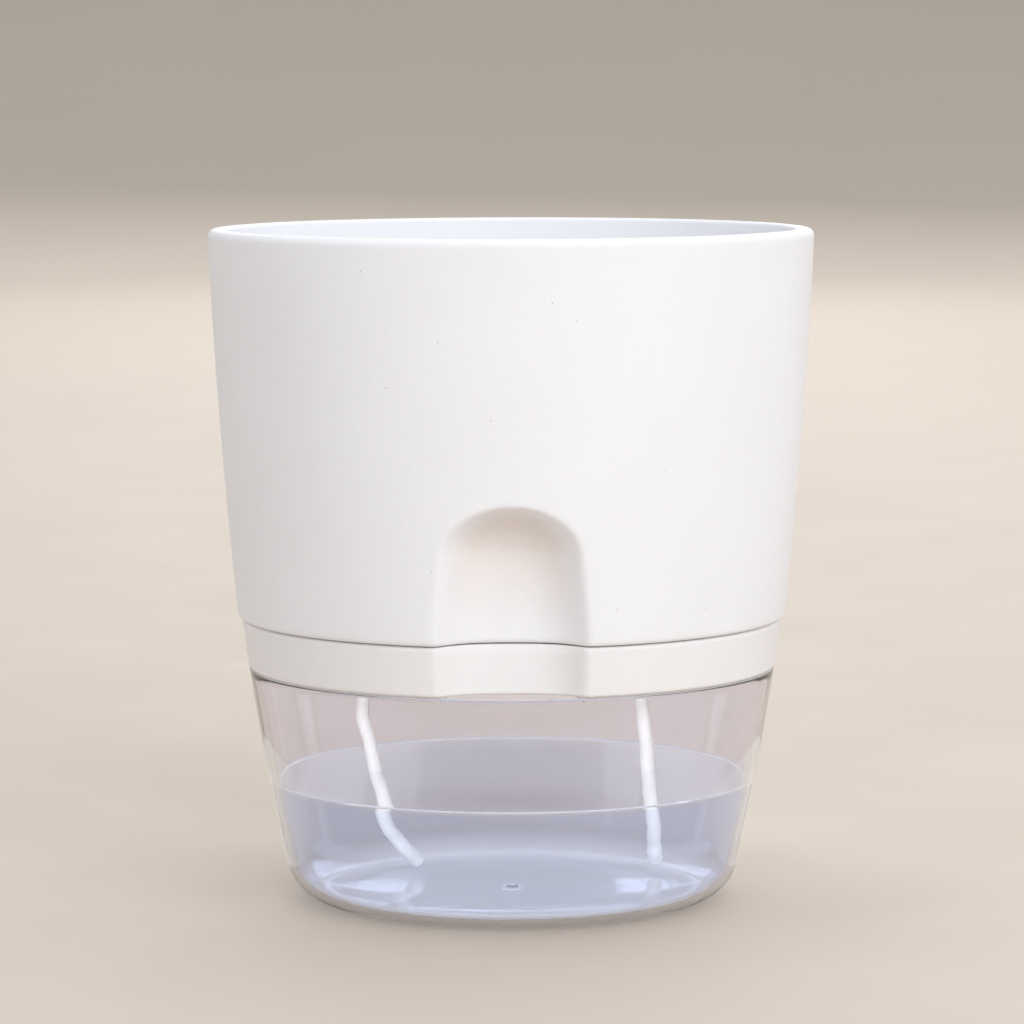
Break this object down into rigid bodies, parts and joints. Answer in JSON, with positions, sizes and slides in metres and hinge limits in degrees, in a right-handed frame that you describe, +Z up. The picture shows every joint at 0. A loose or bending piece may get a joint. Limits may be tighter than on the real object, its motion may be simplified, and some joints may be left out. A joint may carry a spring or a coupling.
{
  "type": "self watering planter",
  "caption": "Tapered off-white pot on a short collar over a clear water reservoir, with an arched filling niche in front and cotton wicks hanging in the water.",
  "frame": {"origin": "centre of the reservoir's underside, on the surface that it stands on", "axes": "+Z up, -Y towards the filling niche at the front, +X to the right seen from the front"},
  "size_m": [0.1488, 0.1488, 0.1659],
  "materials": {
    "pot_plastic": "matte off-white moulded plastic with a very fine grain and sparse tiny dark specks",
    "collar_plastic": "matte cream-white moulded plastic, a shade warmer than the pot",
    "clear_plastic": "clear glossy moulded plastic with a faint cool tint",
    "cotton": "soft white twisted cotton cord"
  },
  "bodies": {
    "reservoir": {"water_reservoir": "clear_plastic"},
    "collar": {"support_collar": "collar_plastic"},
    "pot": {"planting_pot": "pot_plastic", "wick_left": "cotton", "wick_right": "cotton"}
  },
  "joints": [
    {"name": "collar_lift", "type": "slide", "parent": "reservoir", "child": "collar", "axis": [0, 0, 1], "range_m": [0, 0.07]},
    {"name": "pot_lift", "type": "slide", "parent": "collar", "child": "pot", "axis": [0, 0, 1], "range_m": [0, 0.08]}
  ]
}
